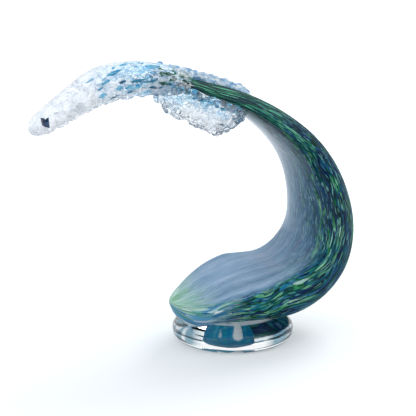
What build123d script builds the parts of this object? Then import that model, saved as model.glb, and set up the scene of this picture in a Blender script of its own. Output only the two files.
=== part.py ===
from build123d import *
import math
import os

# Hot-worked glass wave on a clear disc foot. Millimetres, +Z up, origin at the centre of the
# flat face under the foot. The wave rises at +X and its crest reaches over towards -X.

# Clear foot: a pressed disc with a flat ground face and a bulged side
FOOT_DIAMETER = 127.0
FOOT_FACE_DIAMETER = 113.0
FOOT_TOP_DIAMETER = 108.0
FOOT_HEIGHT = 23.0
FOOT_BULGE_HEIGHT = 11.0
FOOT_BANDS = 12

# Edge line of the wave, seen from the side: straight runs joined by tangent arcs
NOSE_REACH = 78.0
NOSE_LIFT = 29.5
BLADE_RISE = 10.5
BLADE_RUN = 124.0
TURN_RADIUS = 51.5
TURN_SWEEP = 79.5
WALL_RADIUS = 112.5
WALL_SWEEP = 40.0
SHOULDER_RADIUS = 206.0
SHOULDER_SWEEP = 29.0
LIP_RUN = 42.0
CREST_RADIUS = 94.5
CREST_SWEEP = 50.0
SPOUT_RUN = 77.0

# Widths of the wave across Y
WAVE_WIDTH = 120.0
LIP_ROOT_WIDTH = 98.0
LIP_WIDTH = 76.0
LIP_TUCK = 22.0

# Nose of the blade: a rounded end that leans to the near side
NOSE_OFFSET = 25.0
NEAR_TAPER = 34.0
FAR_TAPER = 92.0
FAR_SLANT = 1.45
BLADE_ROLL = 5.0
HEEL_ROLL = -1.0

# Depth of the back, measured outwards from the edge line
NOSE_DEPTH = 37.0
BLADE_DEPTH = 54.0
HEEL_DEPTH = 58.5
KEEL_DEPTH = 55.5
WALL_DEPTH = 44.0
SHOULDER_DEPTH = 27.0
LIP_ROOT_DEPTH = 9.5
LIP_DEPTH = 6.3

# Crown of the inner face, measured inwards from the edge line
BLADE_CROWN = 2.5
KEEL_CROWN = 9.0
WALL_CROWN = 15.5
SHOULDER_CROWN = 8.0
LIP_ROOT_CROWN = 7.0
LIP_CROWN = 8.0

# Clear spout fused over the lip
SPOUT_LAP = 16.0
SPOUT_ROOT_WIDTH = 80.0
SPOUT_CREST_WIDTH = 76.0
SPOUT_NECK_WIDTH = 60.0
SPOUT_TIP_WIDTH = 30.0
SPOUT_ROOT_TOP = 10.5
SPOUT_CREST_TOP = 15.0
SPOUT_NECK_TOP = 20.0
SPOUT_TIP_TOP = 10.0
SPOUT_ROOT_UNDER = 8.0
SPOUT_CREST_UNDER = 19.0
SPOUT_NECK_UNDER = 14.0
SPOUT_TIP_UNDER = 9.0
TIP_ROUND = 14.0

# Crumpled foam: a curtain under the lip and a ridge along the far edge of its back
FOAM_CRUMPLE = 2.2
CURTAIN_DROP = 37.0
CURTAIN_LIP_DROP = 31.0
CURTAIN_WIDTH = 64.0
CURTAIN_HEM_WIDTH = 46.0
CURTAIN_HEM_BULGE = 11.0
CURTAIN_OFFSET = -14.0
CURTAIN_START = 36.0
CURTAIN_STEEP = 24.0
CURTAIN_END = 34.0
RIDGE_RISE = 6.0
RIDGE_SHARE = 0.85
RIDGE_WIDTH = 36.0
RIDGE_OFFSET = 28.0
RIDGE_START = 52.0
RIDGE_END = 14.0
RIDGE_FADE = 22.0

# Fused bits of glass
FRIT_SIZE = 8.5
FRIT_PITCH = 15.0
FRIT_SINK = 1.5
LEAST_SHOWN = 0.2
BEAD_SIZE = 8.0
BEAD_BEVEL = 2.3
BEAD_PITCH = 9.5
BEAD_SINK = 2.2
KNUCKLE_SIZE = 15.0
CANE_LENGTH = 16.0
CANE_DIAMETER = 4.5
CHIP_SIZE = 11.0

GOLDEN_TURN = 137.5

# Legs of the edge line as length and turn; a straight run turns by nothing
LEGS = [
    (BLADE_RUN, 0.0),
    (TURN_RADIUS * math.radians(TURN_SWEEP), TURN_SWEEP),
    (WALL_RADIUS * math.radians(WALL_SWEEP), WALL_SWEEP),
    (SHOULDER_RADIUS * math.radians(SHOULDER_SWEEP), SHOULDER_SWEEP),
    (LIP_RUN, 0.0),
    (CREST_RADIUS * math.radians(CREST_SWEEP), CREST_SWEEP),
    (SPOUT_RUN, 0.0),
]
HEEL = LEGS[0][0]
UPRIGHT = HEEL + LEGS[1][0]
SHOULDER = UPRIGHT + LEGS[2][0]
LIP_ROOT = SHOULDER + LEGS[3][0]
LIP = LIP_ROOT + LEGS[4][0]
NECK = LIP + LEGS[5][0]
TIP = NECK + LEGS[6][0]
KEEL = (HEEL + UPRIGHT) / 2
CREST = (LIP + NECK) / 2
LIP_END = LIP + LIP_TUCK
SPOUT_START = LIP - SPOUT_LAP


def edge_line(run):
    """X, Z and heading of the edge line at a distance along it from the nose."""
    x = -NOSE_REACH
    z = FOOT_HEIGHT + NOSE_LIFT
    heading = math.radians(BLADE_RISE)
    left = run
    for length, sweep in LEGS:
        step = min(left, length)
        turn = math.radians(sweep) * step / length
        chord = step if turn == 0 else 2 * step / turn * math.sin(turn / 2)
        x += chord * math.cos(heading + turn / 2)
        z += chord * math.sin(heading + turn / 2)
        heading += turn
        left -= step
    return x, z, heading


def smooth(stations, run):
    """Smooth value between stations of (run, value), level beyond the first and the last."""
    if run <= stations[0][0]:
        return stations[0][1]
    if run >= stations[-1][0]:
        return stations[-1][1]
    last = len(stations) - 1
    i = max(k for k in range(last) if stations[k][0] <= run)
    (r0, v0), (r1, v1) = stations[i], stations[i + 1]
    rb, vb = stations[max(i - 1, 0)]
    ra, va = stations[min(i + 2, last)]
    t = (run - r0) / (r1 - r0)
    m0 = (v1 - vb) / (r1 - rb) * (r1 - r0)
    m1 = (va - v0) / (ra - r0) * (r1 - r0)
    first = (1 + 2 * t) * (1 - t) ** 2 * v0 + t * (1 - t) ** 2 * m0
    return first + t * t * (3 - 2 * t) * v1 + t * t * (t - 1) * m1


def rounding(share, power=0.5):
    """Growth of a rounded end from nothing at 0 to full at 1."""
    share = min(max(share, 0.0), 1.0)
    return (share * (2 - share)) ** power


def frame_at(run, y=0.0, roll=0.0):
    """Plane across the edge line: X across the wave, Y towards the inside of the curl."""
    x, z, heading = edge_line(run)
    r = math.radians(roll)
    across = (-math.sin(heading) * math.sin(r), math.cos(r), math.cos(heading) * math.sin(r))
    along = (math.cos(heading), 0, math.sin(heading))
    return Plane(origin=(x, y, z), x_dir=across, z_dir=along)


def arc_over(half_width, height):
    """Arc from the far edge over its crown to the near edge; below zero it bulges outwards."""
    return ThreePointArc((half_width, 0), (0, height), (-half_width, 0))


def on_arc(plane, half_width, height, share, lift=0.0):
    """Point on such an arc at a share of its length, lifted off the arc along its normal."""
    radius = (half_width**2 + height**2) / (2 * abs(height))
    turn = math.atan2(half_width, radius - abs(height)) * (1 - 2 * share)
    u = (radius + lift) * math.sin(turn)
    v = (radius + lift) * math.cos(turn) - radius + abs(height)
    return plane.from_local_coords((u, v if height > 0 else -v, 0))


def lens(plane, half_width, inner, outer):
    """Section between two arcs that meet in an edge on each side."""
    return plane * make_face([arc_over(half_width, inner), arc_over(half_width, -outer)])


WIDTHS = [(SHOULDER, WAVE_WIDTH), (LIP_ROOT, LIP_ROOT_WIDTH), (LIP, LIP_WIDTH)]
DEPTHS = [
    (NEAR_TAPER, NOSE_DEPTH),
    (FAR_TAPER, BLADE_DEPTH),
    (HEEL, HEEL_DEPTH),
    (KEEL, KEEL_DEPTH),
    (UPRIGHT, WALL_DEPTH),
    (SHOULDER, SHOULDER_DEPTH),
    (LIP_ROOT, LIP_ROOT_DEPTH),
    (LIP, LIP_DEPTH),
]
CROWNS = [
    (HEEL, BLADE_CROWN),
    (KEEL, KEEL_CROWN),
    (UPRIGHT, WALL_CROWN),
    (SHOULDER, SHOULDER_CROWN),
    (LIP_ROOT, LIP_ROOT_CROWN),
    (LIP, LIP_CROWN),
]
ROLLS = [(FAR_TAPER, BLADE_ROLL), (HEEL, HEEL_ROLL), (KEEL, 0.0)]


def wave_sizes(run):
    """Y centre, half width, inner crown and outer depth of the wave at a run."""
    half = smooth(WIDTHS, run) / 2
    nose = rounding(run / NEAR_TAPER)
    slant = 1 - (1 - min(run / FAR_TAPER, 1.0)) ** FAR_SLANT
    tuck = rounding((LIP_END - run) / LIP_TUCK)
    far = -NOSE_OFFSET + (half + NOSE_OFFSET) * slant
    near = -NOSE_OFFSET - (half - NOSE_OFFSET) * nose
    crown = smooth(CROWNS, run) * nose * tuck
    depth = smooth(DEPTHS, run) * nose * tuck
    return (far + near) / 2, (far - near) / 2 * tuck, crown, depth


def wave_section(run):
    y, half, crown, depth = wave_sizes(run)
    return lens(frame_at(run, y, smooth(ROLLS, run)), half, crown, depth)


def spread(start, end, count):
    """Even runs after the start, up to and with the end."""
    return [start + (end - start) * (i + 1) / count for i in range(count)]


def through(sections):
    """Solid through close sections."""
    return loft(sections, ruled=True)


def wave_body():
    """Wave from its nose to its lip, with the closest sections in the tightest bend."""
    runs = [NEAR_TAPER * share**2 for share in (0.15, 0.35, 0.6, 0.8, 1.0)]
    legs = [(HEEL, 5), (UPRIGHT, 10), (SHOULDER, 6), (LIP_ROOT, 6), (LIP, 2)]
    for stop, count in legs:
        runs += spread(runs[-1], stop, count)
    runs += [LIP_END - LIP_TUCK * share**2 for share in (0.75, 0.45, 0.2)]
    return through([wave_section(run) for run in runs])


SPOUT_WIDTHS = [
    (SPOUT_START, SPOUT_ROOT_WIDTH),
    (CREST, SPOUT_CREST_WIDTH),
    (NECK, SPOUT_NECK_WIDTH),
    (TIP, SPOUT_TIP_WIDTH),
]
SPOUT_TOPS = [
    (SPOUT_START, SPOUT_ROOT_TOP),
    (CREST, SPOUT_CREST_TOP),
    (NECK, SPOUT_NECK_TOP),
    (TIP, SPOUT_TIP_TOP),
]
SPOUT_UNDERS = [
    (SPOUT_START, SPOUT_ROOT_UNDER),
    (CREST, SPOUT_CREST_UNDER),
    (NECK, SPOUT_NECK_UNDER),
    (TIP, SPOUT_TIP_UNDER),
]


def spout_sizes(run):
    """Half width, depth under and height over the edge line of the spout at a run."""
    end = rounding((TIP - run) / TIP_ROUND) * rounding((run - SPOUT_START) / SPOUT_LAP + 0.08)
    half = smooth(SPOUT_WIDTHS, run) / 2
    return half * end, smooth(SPOUT_UNDERS, run) * end, smooth(SPOUT_TOPS, run) * end


def spout_body():
    runs = [SPOUT_START + SPOUT_LAP * share**2 for share in (0.0, 0.35, 0.7, 1.0)]
    runs += spread(LIP, NECK, 11)
    runs += spread(NECK, TIP - TIP_ROUND, 5)
    runs += [TIP - TIP_ROUND * share**2 for share in (0.75, 0.5, 0.25)]
    return through([lens(frame_at(run), *spout_sizes(run)) for run in runs])


CURTAIN_TOP = LIP_ROOT - CURTAIN_START
CURTAIN_LOW = CURTAIN_TOP + CURTAIN_STEEP
CURTAIN_FAR = LIP + CURTAIN_END
CURTAIN_DROPS = [
    (CURTAIN_LOW, CURTAIN_DROP),
    (LIP, CURTAIN_LIP_DROP),
    (CURTAIN_FAR, SPOUT_CREST_UNDER),
]


def curtain_sizes(run):
    """Half width under the lip, half width at the hem, drop and hem bulge of the curtain."""
    rise = rounding((run - CURTAIN_TOP) / CURTAIN_STEEP, 0.8)
    fade = rounding((CURTAIN_FAR - run) / CURTAIN_END)
    narrow = (0.4 + 0.6 * rise) * (0.5 + 0.5 * fade)
    half = CURTAIN_WIDTH / 2 * narrow
    hem = CURTAIN_HEM_WIDTH / 2 * narrow
    return half, hem, smooth(CURTAIN_DROPS, run) * rise, CURTAIN_HEM_BULGE * rise


def crumple(number):
    """Uneven offset of a foam corner, in or out by up to the depth of the crumpling."""
    return FOAM_CRUMPLE * math.sin(math.radians(GOLDEN_TURN) * number)


def curtain_section(run, number):
    """Hanging sheet of glass: slanted sides, the near one crumpled, and an uneven hem."""
    half, hem, drop, bulge = curtain_sizes(run)
    corner = drop - bulge
    outline = Polyline(
        (half, 0),
        (hem, corner),
        (hem / 3, drop + crumple(number)),
        (-hem / 3, drop + crumple(number + 2)),
        (-hem, corner),
        (-(half + hem) / 2 + crumple(number + 1), corner / 2),
        (-half, 0),
        close=True,
    )
    return frame_at(run, CURTAIN_OFFSET) * make_face(outline)


def curtain_body():
    runs = [CURTAIN_TOP + CURTAIN_STEEP * share for share in (0.12, 0.3, 0.55, 0.8, 1.0)]
    runs += spread(CURTAIN_LOW, LIP, 5) + spread(LIP, CURTAIN_FAR, 3)
    return through([curtain_section(run, i) for i, run in enumerate(runs)])


RIDGE_TOP = LIP_ROOT - RIDGE_START
RIDGE_FAR = LIP + RIDGE_END


def ridge_sizes(run):
    """Half width and height of the ridge at a run."""
    ends = rounding((run - RIDGE_TOP) / RIDGE_FADE + 0.08)
    ends *= rounding((RIDGE_FAR - run) / RIDGE_FADE + 0.08)
    return RIDGE_WIDTH / 2 * ends, smooth(DEPTHS, run) * RIDGE_SHARE + RIDGE_RISE * ends


def ridge_section(run, number):
    """Low crumpled bank on the edge line that shows over the back of the wave."""
    half, height = ridge_sizes(run)
    outline = Polyline(
        (half, 0),
        (half * 0.85, -height * 0.6),
        (half * 0.4, -height + crumple(number) / 2),
        (-half * 0.4, -height + crumple(number + 2) / 2),
        (-half * 0.85, -height * 0.6),
        (-half, 0),
        close=True,
    )
    return frame_at(run, RIDGE_OFFSET) * make_face(outline)


def ridge_body():
    runs = [RIDGE_TOP + RIDGE_FADE * share**2 for share in (0.0, 0.4, 0.75, 1.0)]
    runs += spread(RIDGE_TOP + RIDGE_FADE, RIDGE_FAR - RIDGE_FADE, 6)
    runs += [RIDGE_FAR - RIDGE_FADE * share**2 for share in (0.75, 0.4, 0.0)]
    return through([ridge_section(run, i) for i, run in enumerate(runs)])


def frit_bit(place, size, number):
    """Cracked bit: two turned blocks in common, a different pose for each number."""
    spin = GOLDEN_TURN * number
    block = Box(size, size * 0.85, size * 0.7)
    other = Rot(45, 35 + 7 * (number % 3), 0) * Box(size, size * 0.9, size * 0.8)
    return Pos(*place) * Rot(spin, spin / 2, spin / 3) * (block & other)


def group(solids):
    return Compound(children=list(solids))


def seated(pieces, *seats):
    """Pieces with what they sit in cut away, so that they touch it face to face."""
    least = min(piece.volume for piece in pieces) * LEAST_SHOWN
    left = [group(piece.solids()).cut(*seats) for piece in pieces]
    return [solid for bit in left for solid in bit.solids() if solid.volume > least]


def rod(length, across):
    """Six-sided rod with its length along Z."""
    return extrude(RegularPolygon(across / 2, 6), length / 2, both=True)


def spout_place(run, share, lift, under=False):
    """Point over the spout's skin at a share from its far edge to its near edge."""
    half, low, high = spout_sizes(run)
    return on_arc(frame_at(run), half, low if under else -high, share, lift)


def hem_place(run, share, lift):
    """Point under the curtain's hem at a share of its half width from the middle."""
    _, hem, drop, _ = curtain_sizes(run)
    return frame_at(run, CURTAIN_OFFSET).from_local_coords((hem * share, drop + lift, 0))


def side_place(run, share, lift):
    """Point off the curtain's near side at a share of its drop."""
    half, hem, drop, bulge = curtain_sizes(run)
    u = -half + (half - hem) * share
    return frame_at(run, CURTAIN_OFFSET).from_local_coords((u - lift, (drop - bulge) * share, 0))


def ridge_place(run, share, lift):
    """Point over the ridge at a share of its half width from the middle."""
    half, height = ridge_sizes(run)
    return frame_at(run, RIDGE_OFFSET).from_local_coords((half * share, -height - lift, 0))


def steps(start, end, pitch):
    """Runs from the start to the end, near a pitch apart."""
    count = max(1, round((end - start) / pitch))
    return [start + (end - start) * i / count for i in range(count + 1)]


parts = {}

face = FOOT_FACE_DIAMETER / 2
top = FOOT_TOP_DIAMETER / 2
rim = FOOT_DIAMETER / 2
bulge = ThreePointArc((face, 0), (rim, FOOT_BULGE_HEIGHT), (top, FOOT_HEIGHT))
side = Polyline(*[bulge @ (i / FOOT_BANDS) for i in range(FOOT_BANDS + 1)])
rest = Polyline((top, FOOT_HEIGHT), (0, FOOT_HEIGHT), (0, 0), (face, 0))
foot = revolve(Plane.XZ * make_face([side, rest]), Axis.Z)
parts["clear_foot"] = foot

# The wave is fused on the top of its foot
wave = wave_body() - foot
parts["wave_body"] = wave

spout = spout_body()
curtain = curtain_body()
ridge = ridge_body()
parts["crest_spout"] = spout - wave
parts["foam_curtain"] = curtain - wave - spout
parts["foam_ridge"] = ridge - wave - spout

# Fused bits sit a little sunk in the glass that carries them
lift = FRIT_SIZE / 4 - FRIT_SINK

bead = Box(BEAD_SIZE, BEAD_SIZE, BEAD_SIZE)
bead = chamfer(bead.edges(), BEAD_BEVEL)
beads = []
for run in steps(RIDGE_TOP + RIDGE_FADE, RIDGE_FAR - RIDGE_FADE, BEAD_PITCH):
    for share in (-0.42, 0.42):
        place = ridge_place(run, share, BEAD_SIZE / 2 - BEAD_SINK)
        turned = Rot(0, GOLDEN_TURN * len(beads), 0)
        beads.append(Pos(*place) * turned * bead)
parts["ridge_beads"] = group(seated(beads, ridge))

spout_bits = [[], [], []]
for i, run in enumerate(steps(CURTAIN_FAR + FRIT_SIZE, TIP - 1.5 * FRIT_SIZE, FRIT_PITCH)):
    shares = (0.28, 0.5, 0.72) if run < NECK else (0.32, 0.68)
    for j, share in enumerate(shares):
        place = spout_place(run, share, lift, under=True)
        spout_bits[(i + j) % 3].append(frit_bit(place, FRIT_SIZE, 3 * i + j))

curtain_bits = [[], [], []]
for i, run in enumerate(steps(CURTAIN_LOW - FRIT_SIZE / 2, LIP + FRIT_SIZE, FRIT_PITCH)):
    places = [hem_place(run, 0.45, lift), hem_place(run, -0.35, lift)]
    places += [side_place(run, 0.35, lift), side_place(run, 0.8, lift)]
    for j, place in enumerate(places):
        curtain_bits[(i + j) % 3].append(frit_bit(place, FRIT_SIZE, 4 * i + j))

parts["spout_frit_clear"] = group(seated(spout_bits[1] + spout_bits[2], spout))
parts["curtain_frit_clear"] = group(seated(curtain_bits[1] + curtain_bits[2], curtain))
parts["aqua_frit"] = group(seated(spout_bits[0], spout) + seated(curtain_bits[0], curtain))

knuckles = []
for i, run in enumerate(steps(LIP + KNUCKLE_SIZE / 4, LIP + KNUCKLE_SIZE * 1.4, KNUCKLE_SIZE * 1.2)):
    for j, share in enumerate((0.76, 0.97)):
        knuckles.append(frit_bit(spout_place(run, share, 0.0), KNUCKLE_SIZE, i + 2 * j))
parts["green_knuckles"] = group(seated(knuckles, spout, curtain, wave))

canes = []
for run in steps(LIP + CANE_LENGTH * 2.45, NECK - CANE_LENGTH / 2, CANE_LENGTH * 1.3):
    for j, share in enumerate((0.58, 0.76, 0.92)):
        middle = run + CANE_LENGTH * 0.35 * (j % 2)
        lying = frame_at(middle)
        lying.origin = spout_place(middle, share, CANE_DIAMETER * 0.2)
        canes.append(lying * rod(CANE_LENGTH, CANE_DIAMETER))
parts["teal_canes"] = group(seated(canes, spout))

chip = frit_bit(spout_place(TIP - CHIP_SIZE * 1.7, 0.9, 0.0), CHIP_SIZE, 2)
parts["cobalt_chip"] = group(seated([chip], spout))

for name, part in parts.items():
    print(name, len(part.solids()), round(part.volume / 1000, 1), part.is_valid)

os.makedirs("parts", exist_ok=True)
for name, part in parts.items():
    export_step(part, f"parts/{name}.step")
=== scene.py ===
import math
import random

import bmesh
import bpy
from mathutils import Matrix, Vector


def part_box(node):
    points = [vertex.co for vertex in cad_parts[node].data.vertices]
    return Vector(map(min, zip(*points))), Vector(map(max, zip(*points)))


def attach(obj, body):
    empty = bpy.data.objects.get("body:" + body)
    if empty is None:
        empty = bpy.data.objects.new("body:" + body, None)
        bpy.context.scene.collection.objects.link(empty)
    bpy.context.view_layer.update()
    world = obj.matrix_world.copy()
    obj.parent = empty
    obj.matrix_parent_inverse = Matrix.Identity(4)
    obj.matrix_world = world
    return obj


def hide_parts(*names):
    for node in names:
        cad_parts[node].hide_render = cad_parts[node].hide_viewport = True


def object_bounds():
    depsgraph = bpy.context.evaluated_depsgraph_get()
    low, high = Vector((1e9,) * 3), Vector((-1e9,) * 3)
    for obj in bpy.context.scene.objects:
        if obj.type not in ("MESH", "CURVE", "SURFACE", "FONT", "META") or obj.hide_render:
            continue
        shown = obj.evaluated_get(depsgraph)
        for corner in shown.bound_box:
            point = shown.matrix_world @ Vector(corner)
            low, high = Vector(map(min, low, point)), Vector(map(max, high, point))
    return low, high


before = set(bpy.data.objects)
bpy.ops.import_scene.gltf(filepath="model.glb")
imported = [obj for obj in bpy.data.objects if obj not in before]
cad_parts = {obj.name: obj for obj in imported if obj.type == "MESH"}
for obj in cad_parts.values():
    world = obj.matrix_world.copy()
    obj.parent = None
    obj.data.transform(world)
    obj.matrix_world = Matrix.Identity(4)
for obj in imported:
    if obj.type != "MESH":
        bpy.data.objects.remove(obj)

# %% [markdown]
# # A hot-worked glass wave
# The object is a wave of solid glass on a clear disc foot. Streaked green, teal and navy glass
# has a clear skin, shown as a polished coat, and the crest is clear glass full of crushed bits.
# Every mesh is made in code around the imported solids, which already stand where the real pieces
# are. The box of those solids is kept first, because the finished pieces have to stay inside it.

MM = 0.001
CAD_LOW, CAD_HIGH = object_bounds()
FOOT_LOW, FOOT_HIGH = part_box("clear_foot")
print("solids from", tuple(CAD_LOW), "to", tuple(CAD_HIGH), "in", len(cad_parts), "nodes")

# %% [markdown]
# ## The line that the wave follows
# A glass worker draws the wave out along one sweeping line: a straight blade, a tight turn, a
# tall wall, a long shoulder and the lip. A curve object could hold that line, but lengths and
# arcs keep the sizes readable, and any point along the line is found by adding up turns. All
# sizes in this lesson are millimetres until a point is placed.

# %% Edge line
FOOT_HEIGHT = (FOOT_HIGH.z - FOOT_LOW.z) / MM
FOOT_RADIUS = (FOOT_HIGH.x - FOOT_LOW.x) / MM / 2
NOSE_REACH, NOSE_LIFT, BLADE_RISE = 78.0, 29.5, 10.5
LEGS = [  # length of each run and its turn in degrees, from the nose to the tip of the spout
    (124.0, 0.0),
    (51.5 * math.radians(79.5), 79.5),
    (112.5 * math.radians(40.0), 40.0),
    (206.0 * math.radians(29.0), 29.0),
    (42.0, 0.0),
    (94.5 * math.radians(50.0), 50.0),
    (77.0, 0.0),
]
HEEL = LEGS[0][0]
UPRIGHT = HEEL + LEGS[1][0]
SHOULDER = UPRIGHT + LEGS[2][0]
LIP_ROOT = SHOULDER + LEGS[3][0]
LIP = LIP_ROOT + LEGS[4][0]
NECK = LIP + LEGS[5][0]
TIP = NECK + LEGS[6][0]
KEEL = (HEEL + UPRIGHT) / 2
CREST = (LIP + NECK) / 2
LIP_TUCK = 22.0
LIP_END = LIP + LIP_TUCK


def edge_line(run):
    """X, Z and heading of the edge line at a distance from the nose."""
    x, z, heading = -NOSE_REACH, FOOT_HEIGHT + NOSE_LIFT, math.radians(BLADE_RISE)
    left = run
    for length, sweep in LEGS:
        step = min(left, length)
        turn = math.radians(sweep) * step / length
        chord = step if turn == 0 else 2 * step / turn * math.sin(turn / 2)
        x += chord * math.cos(heading + turn / 2)
        z += chord * math.sin(heading + turn / 2)
        heading += turn
        left -= step
    return x, z, heading


def place(run, across, inward, y=0.0, roll=0.0):
    """Point in metres at a run, so far across and so far towards the inside of the curl."""
    x, z, h = edge_line(run)
    r = math.radians(roll)
    side = Vector((-math.sin(h) * math.sin(r), math.cos(r), math.cos(h) * math.sin(r)))
    ahead = Vector((math.cos(h), 0, math.sin(h)))
    return (Vector((x, y, z)) + side * across + ahead.cross(side) * inward) * MM


print("the line is", round(TIP), "mm long and ends at", [round(v) for v in edge_line(TIP)[:2]])

# %% [markdown]
# ## Sizes along the line
# Between a few stations the sizes change smoothly, as pulled glass does. A Hermite blend needs
# only the values at the stations, and a rounded end grows like the quarter of a circle.

# %% Smooth sizes
def smooth(stations, run):
    """Smooth value between stations of (run, value), level beyond the ends."""
    if run <= stations[0][0]:
        return stations[0][1]
    if run >= stations[-1][0]:
        return stations[-1][1]
    last = len(stations) - 1
    i = max(k for k in range(last) if stations[k][0] <= run)
    (r0, v0), (r1, v1) = stations[i], stations[i + 1]
    rb, vb = stations[max(i - 1, 0)]
    ra, va = stations[min(i + 2, last)]
    t = (run - r0) / (r1 - r0)
    m0 = (v1 - vb) / (r1 - rb) * (r1 - r0)
    m1 = (va - v0) / (ra - r0) * (r1 - r0)
    first = (1 + 2 * t) * (1 - t) ** 2 * v0 + t * (1 - t) ** 2 * m0
    return first + t * t * (3 - 2 * t) * v1 + t * t * (t - 1) * m1


def rounding(share, power=0.5):
    """Growth of a rounded end from nothing at 0 to full at 1."""
    share = min(max(share, 0.0), 1.0)
    return (share * (2 - share)) ** power


NOSE_OFFSET, NEAR_TAPER, FAR_TAPER, FAR_SLANT = 25.0, 34.0, 92.0, 1.7
NOSE_BLUNT, BLUNT_RUN = 0.08, 14.0
WIDTHS = [(SHOULDER, 120.0), (LIP_ROOT, 98.0), (LIP, 76.0)]
DEPTHS = [
    (NEAR_TAPER, 37.0), (FAR_TAPER, 54.0), (HEEL, 58.5), (KEEL, 55.5),
    (UPRIGHT, 44.0), (SHOULDER, 27.0), (LIP_ROOT, 9.5), (LIP, 6.3),
]
CROWNS = [
    (HEEL, 2.5), (KEEL, 9.0), (UPRIGHT, 15.5), (SHOULDER, 8.0), (LIP_ROOT, 7.0), (LIP, 8.0),
]
ROLLS = [(FAR_TAPER, 5.0), (HEEL, -1.0), (KEEL, 0.0)]
SOFTNESS = [
    (20.0, 1.8), (60.0, 1.0), (HEEL, 0.4), (UPRIGHT, 1.0), (SHOULDER, 0.8), (LIP_ROOT, 0.2),
]


def wave_sizes(run):
    """Y centre, half width, inner crown and outer depth of the wave."""
    half = smooth(WIDTHS, run) / 2
    nose = rounding(run / NEAR_TAPER)
    left = 1 - min(run / FAR_TAPER, 1.0)
    slant = 1 - left**FAR_SLANT + NOSE_BLUNT * rounding(run / BLUNT_RUN) * left
    tuck = rounding((LIP_END - run) / LIP_TUCK)
    far = -NOSE_OFFSET + (half + NOSE_OFFSET) * slant
    near = -NOSE_OFFSET - (half - NOSE_OFFSET) * nose
    crown = smooth(CROWNS, run) * nose * tuck
    depth = smooth(DEPTHS, run) * nose * tuck
    return (far + near) / 2, (far - near) / 2 * tuck, crown, depth


print("the keel is", wave_sizes(KEEL)[3], "mm deep, the lip", wave_sizes(LIP)[3], "mm")

# %% [markdown]
# ## Rings and lofts
# Each section is a lens: one arc for the inner face, one for the back. Fire polishing rounds
# the edges, so a softened copy of the ring is blended in. A bridge between rings makes clean
# quads that keep the direction of flow, which the streaks need as their UV map.

# %% Loft helpers
FLOW_SPAN = 500.0  # millimetres in one unit of the flow map
FLOW_ROUND = 290.0  # millimetres once round the wave


def on_arc(half, height, share, lift=0.0):
    """Across and inward place on a section's arc at a share from its far edge, lifted off it."""
    radius = (half**2 + height**2) / (2 * abs(height))
    turn = math.atan2(half, radius - abs(height)) * (1 - 2 * share)
    u = (radius + lift) * math.sin(turn)
    v = (radius + lift) * math.cos(turn) - radius + abs(height)
    return u, v if height > 0 else -v


def softened(ring, rounds):
    """Ring with its corners rounded by averaging neighbours."""
    count = len(ring)
    for _ in range(rounds):
        ring = [
            tuple((ring[i - 1][k] + 2 * ring[i][k] + ring[(i + 1) % count][k]) / 4 for k in (0, 1))
            for i in range(count)
        ]
    return ring


def lens_ring(half, inner, outer, soft, count=36):
    """Closed ring of a lens section; a softness above 1 rounds its edges more widely."""
    shares = [i / count for i in range(count)]
    ring = [on_arc(half, inner, share) for share in shares]
    ring += [(-u, v) for u, v in (on_arc(half, -outer, share) for share in shares)]
    rounded = softened(ring, round(8 * max(1.0, soft)))
    blend = min(soft, 1.0)
    return [tuple(a[k] + (b[k] - a[k]) * blend for k in (0, 1)) for a, b in zip(ring, rounded)]


def mesh_from(bm, name):
    """Mesh of a bmesh, which is freed."""
    mesh = bpy.data.meshes.new(name)
    bm.to_mesh(mesh)
    bm.free()
    return mesh


def new_object(name, data):
    """Object in the scene for a mesh, a lamp or a camera."""
    obj = bpy.data.objects.new(name, data)
    bpy.context.scene.collection.objects.link(obj)
    return obj


def loft_mesh(name, rings, runs):
    """Closed mesh through rings of points; its flow map runs along the wave and round it."""
    bm = bmesh.new()
    flow = bm.loops.layers.uv.new("flow")
    count = len(rings[0])
    grid = [[bm.verts.new(p) for p in ring] for ring in rings]
    for i in range(len(rings) - 1):
        for j in range(count):
            corners = ((i, j), (i, j + 1), (i + 1, j + 1), (i + 1, j))
            face = bm.faces.new([grid[a][b % count] for a, b in corners])
            for loop, (a, b) in zip(face.loops, corners):
                loop[flow].uv = (runs[a] / FLOW_SPAN, b / count * FLOW_ROUND / FLOW_SPAN)
    for ring, run in ((grid[0], runs[0]), (grid[-1], runs[-1])):
        middle = bm.verts.new(sum((v.co for v in ring), Vector()) / count)
        for j in range(count):
            face = bm.faces.new((ring[j], ring[(j + 1) % count], middle))
            for loop in face.loops:
                loop[flow].uv = (run / FLOW_SPAN, j / count * FLOW_ROUND / FLOW_SPAN)
    bmesh.ops.recalc_face_normals(bm, faces=bm.faces)
    mesh = mesh_from(bm, name)
    mesh.shade_smooth()
    return mesh


def show(name, mesh, material, nodes=()):
    """Object for a finished mesh, which rides with the solids and may stand for some of them."""
    obj = new_object(name, mesh)
    mesh.materials.clear()
    mesh.materials.append(material)
    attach(obj, "root")
    if nodes:
        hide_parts(*nodes)
    print(name, "has", len(mesh.polygons), "faces")


def with_modifiers(mesh, add):
    """Copy of a mesh with modifiers applied; add puts them on a short-lived object."""
    obj = new_object(mesh.name + "_work", mesh)
    add(obj)
    deps = bpy.context.evaluated_depsgraph_get()
    made = bpy.data.meshes.new_from_object(obj.evaluated_get(deps))
    bpy.data.objects.remove(obj)
    return made


# %% [markdown]
# ## Finishes: glass that lets light through
# Glass needs lamps to shine through it, or everything under it turns black. A Light Path node
# swaps the glass for a clear shader on shadow rays only, so what lies inside is lit. Hand-worked
# glass is never quite flat either, so a shared group of slow ripples and tiny seeds bends it.

# %% Node helpers
def srgb(red, green, blue):
    """Colour picked on a screen, as the linear values that a shader wants."""
    parts = [c / 255 for c in (red, green, blue)]
    return [c / 12.92 if c <= 0.04045 else ((c + 0.055) / 1.055) ** 2.4 for c in parts] + [1.0]


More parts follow.
